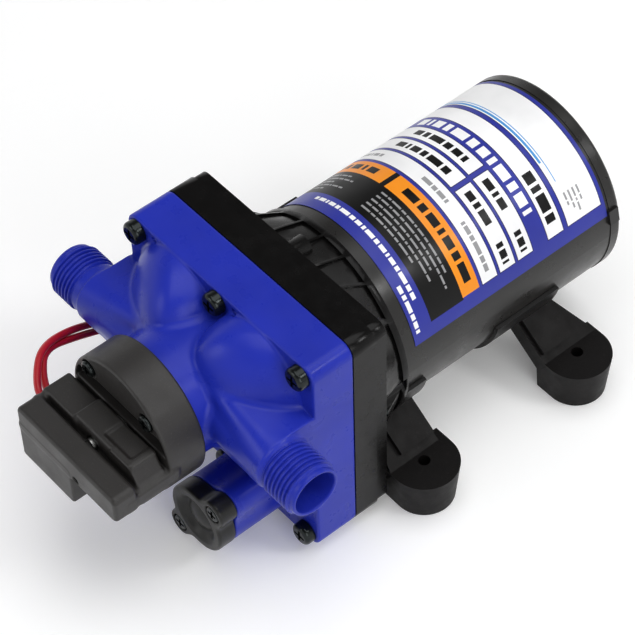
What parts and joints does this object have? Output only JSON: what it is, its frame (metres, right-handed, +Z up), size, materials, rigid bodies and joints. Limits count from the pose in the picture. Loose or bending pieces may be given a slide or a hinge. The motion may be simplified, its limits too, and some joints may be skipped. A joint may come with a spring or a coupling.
{
  "type": "diaphragm water pump",
  "caption": "Caravan 12 V diaphragm water pump: ported pump head with a pressure switch, drive housing and round motor on saddles with rubber feet.",
  "frame": {"origin": "on the floor, at the middle of the four foot holes", "axes": "+X to the outlet port's side, +Y along the motor from the pump head to the motor's rear end, +Z up"},
  "size_m": [0.1328, 0.2198, 0.0985],
  "materials": {
    "head_plastic": "satin moulded plastic",
    "black_screws": "black finished steel",
    "valve_plastic": "moulded",
    "valve_rubber": "smooth",
    "piston_plastic": "moulded",
    "steel": "plain",
    "bright_steel": "plated",
    "bearing_steel": "ground",
    "housing_plastic": "moulded black plastic",
    "switch_plastic": "moulded",
    "grommet_rubber": "smooth",
    "motor_paint": "satin black",
    "ferrite": "ground ferrite",
    "core_steel": "laminated",
    "copper": "enamelled",
    "carbon": "carbon",
    "brass": "plain",
    "label_film": "printed film",
    "saddle_steel": "black finished",
    "foot_rubber": "moulded",
    "red_insulation": "insulated wire"
  },
  "bodies": {
    "pump_body": {"brush_card": "housing_plastic", "brush_holders": "brass", "brush_springs": "steel", "brushes": "carbon", "bypass_cover": "housing_plastic", "bypass_cover_screws": "black_screws", "bypass_spring": "steel", "diaphragm": "valve_rubber", "drive_housing": "housing_plastic", "end_bell": "motor_paint", "foot_front_left": "foot_rubber", "foot_front_right": "foot_rubber", "foot_rear_left": "foot_rubber", "foot_rear_right": "foot_rubber", "front_bearing_outer": "bearing_steel", "front_end_plate": "steel", "front_plate": "housing_plastic", "front_saddle": "saddle_steel", "head_screws": "black_screws", "inlet_valves": "valve_rubber", "lead_grommet": "grommet_rubber", "magnets": "ferrite", "micro_switch": "switch_plastic", "motor_can": "motor_paint", "motor_label": "label_film", "motor_screws": "steel", "outlet_valve": "valve_rubber", "pump_head": "head_plastic", "rear_bearing_outer": "bearing_steel", "rear_saddle": "saddle_steel", "side_screws": "black_screws", "supply_grommet": "grommet_rubber", "switch_base": "switch_plastic", "switch_cover": "switch_plastic", "switch_cover_screws": "black_screws", "switch_diaphragm": "valve_rubber", "switch_lead_inner": "red_insulation", "switch_lead_outer": "red_insulation", "switch_spring": "steel", "switch_terminals": "brass", "tie_bolts": "steel", "valve_plate": "valve_plastic"},
    "rotor": {"motor_shaft": "steel", "armature_core": "core_steel", "armature_windings": "copper", "commutator": "copper", "eccentric_hub": "steel", "hub_set_screw": "steel", "wobble_bearing_inner": "bearing_steel", "wobble_bearing_balls": "bearing_steel", "front_bearing_inner": "bearing_steel", "rear_bearing_inner": "bearing_steel"},
    "wobble": {"wobble_plate": "piston_plastic", "wobble_bearing_outer": "bearing_steel", "inner_pistons": "piston_plastic", "piston_screws": "steel"},
    "bypass_valve": {"bypass_poppet": "piston_plastic"},
    "plunger": {"switch_plunger": "piston_plastic"},
    "seat": {"spring_seat": "steel"},
    "adjuster": {"pressure_adjusting_screw": "bright_steel"}
  },
  "joints": [
    {"name": "motor_shaft_spin", "type": "hinge", "parent": "pump_body", "child": "rotor", "pos_m": [0, 0, 0.051], "axis": [0, 1, 0], "continuous": true, "deforming": ["diaphragm"]},
    {"name": "wobble_nutation", "type": "hinge", "parent": "rotor", "child": "wobble", "pos_m": [0, -0.0656, 0.051], "axis": [0, 0.999, 0.0436], "continuous": true},
    {"name": "bypass_poppet_slide", "type": "slide", "parent": "pump_body", "child": "bypass_valve", "axis": [0, -1, 0], "range_m": [0, 0.002], "stiffness_N_per_m": 1500, "springref_m": -0.004, "deforming": ["bypass_spring"]},
    {"name": "switch_plunger_slide", "type": "slide", "parent": "pump_body", "child": "plunger", "axis": [0, -1, 0], "range_m": [0, 0.001], "stiffness_N_per_m": 6000, "springref_m": -0.004, "deforming": ["switch_spring"]},
    {"name": "spring_seat_slide", "type": "slide", "parent": "pump_body", "child": "seat", "axis": [0, 1, 0], "range_m": [-0.0008, 0.0008], "deforming": ["switch_spring"]},
    {"name": "adjusting_screw_turn", "type": "hinge", "parent": "seat", "child": "adjuster", "pos_m": [0, -0.136, 0.0635], "axis": [0, 1, 0], "range_deg": [-364, 364]}
  ],
  "couplings": [
    {"joint": "wobble_nutation", "follows": "motor_shaft_spin", "ratio": -1},
    {"joint": "adjusting_screw_turn", "follows": "spring_seat_slide", "rad_per_m": 7854}
  ]
}
